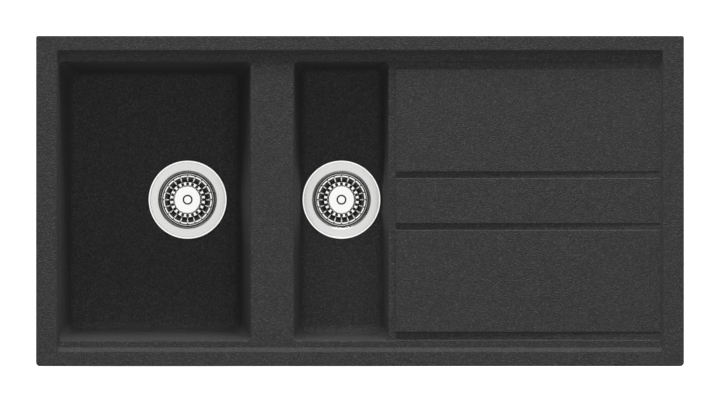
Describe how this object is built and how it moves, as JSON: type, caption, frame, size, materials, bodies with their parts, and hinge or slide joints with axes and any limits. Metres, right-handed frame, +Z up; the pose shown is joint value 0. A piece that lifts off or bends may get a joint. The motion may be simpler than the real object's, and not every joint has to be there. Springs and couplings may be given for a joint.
{
  "type": "kitchen sink",
  "caption": "Inset composite kitchen sink with a large bowl, a narrow half bowl and a grooved drainer, with basket strainer wastes and rim clamps.",
  "frame": {"origin": "centre of the sink in plan, on the worktop's top face, which is the underside of the rim", "axes": "+X to the right along the length (drainer end), +Y to the rear, +Z up out of the worktop"},
  "size_m": [1, 0.51, 0.2995],
  "materials": {
    "composite": "matt moulded granite composite, anthracite",
    "foam": "closed-cell foam",
    "brass": "turned",
    "zinc_steel": "zinc plated",
    "galvanised_steel": "galvanised sheet",
    "stainless": "pressed stainless, satin with a polished rim",
    "basket_steel": "pressed stainless, bright satin",
    "polished_steel": "polished",
    "rubber": "moulded",
    "plastic": "moulded polypropylene"
  },
  "bodies": {
    "sink": {"sink_body": "composite", "sealing_strip": "foam", "clamp_inserts": "brass", "clamp_screws": "zinc_steel", "clamp_washers": "zinc_steel", "main_flange_gasket": "rubber", "main_strainer_cup": "stainless", "main_waste_gasket": "rubber", "main_waste_body": "plastic", "main_waste_nut": "brass", "main_waste_screw": "stainless", "small_flange_gasket": "rubber", "small_strainer_cup": "stainless", "small_waste_gasket": "rubber", "small_waste_body": "plastic", "small_waste_nut": "brass", "small_waste_screw": "stainless"},
    "main_basket_set": {"main_basket": "basket_steel", "main_basket_knob": "polished_steel", "main_basket_stem": "stainless", "main_basket_seal": "rubber", "main_seal_nut": "stainless"},
    "small_basket_set": {"small_basket": "basket_steel", "small_basket_knob": "polished_steel", "small_basket_stem": "stainless", "small_basket_seal": "rubber", "small_seal_nut": "stainless"},
    "claw_front_left": {"clamp_claw_front_left": "galvanised_steel"},
    "claw_front_middle": {"clamp_claw_front_middle": "galvanised_steel"},
    "claw_front_right": {"clamp_claw_front_right": "galvanised_steel"},
    "claw_rear_left": {"clamp_claw_rear_left": "galvanised_steel"},
    "claw_rear_middle": {"clamp_claw_rear_middle": "galvanised_steel"},
    "claw_rear_right": {"clamp_claw_rear_right": "galvanised_steel"},
    "claw_right_front": {"clamp_claw_right_front": "galvanised_steel"},
    "claw_right_rear": {"clamp_claw_right_rear": "galvanised_steel"}
  },
  "joints": [
    {"name": "main_basket_lift", "type": "slide", "parent": "sink", "child": "main_basket_set", "axis": [0, 0, 1], "range_m": [0, 0.25]},
    {"name": "small_basket_lift", "type": "slide", "parent": "sink", "child": "small_basket_set", "axis": [0, 0, 1], "range_m": [0, 0.18]},
    {"name": "front_left_claw_swivel", "type": "hinge", "parent": "sink", "child": "claw_front_left", "pos_m": [-0.4, -0.2345, -0.045], "axis": [0, 0, 1], "range_deg": [0, 90]},
    {"name": "front_middle_claw_swivel", "type": "hinge", "parent": "sink", "child": "claw_front_middle", "pos_m": [0, -0.2345, -0.045], "axis": [0, 0, 1], "range_deg": [0, 90]},
    {"name": "front_right_claw_swivel", "type": "hinge", "parent": "sink", "child": "claw_front_right", "pos_m": [0.4, -0.2345, -0.045], "axis": [0, 0, 1], "range_deg": [0, 90]},
    {"name": "rear_left_claw_swivel", "type": "hinge", "parent": "sink", "child": "claw_rear_left", "pos_m": [-0.4, 0.2345, -0.045], "axis": [0, 0, 1], "range_deg": [0, 90]},
    {"name": "rear_middle_claw_swivel", "type": "hinge", "parent": "sink", "child": "claw_rear_middle", "pos_m": [0, 0.2345, -0.045], "axis": [0, 0, 1], "range_deg": [0, 90]},
    {"name": "rear_right_claw_swivel", "type": "hinge", "parent": "sink", "child": "claw_rear_right", "pos_m": [0.4, 0.2345, -0.045], "axis": [0, 0, 1], "range_deg": [0, 90]},
    {"name": "right_front_claw_swivel", "type": "hinge", "parent": "sink", "child": "claw_right_front", "pos_m": [0.4795, -0.12, -0.045], "axis": [0, 0, 1], "range_deg": [0, 90]},
    {"name": "right_rear_claw_swivel", "type": "hinge", "parent": "sink", "child": "claw_right_rear", "pos_m": [0.4795, 0.12, -0.045], "axis": [0, 0, 1], "range_deg": [0, 90]}
  ]
}
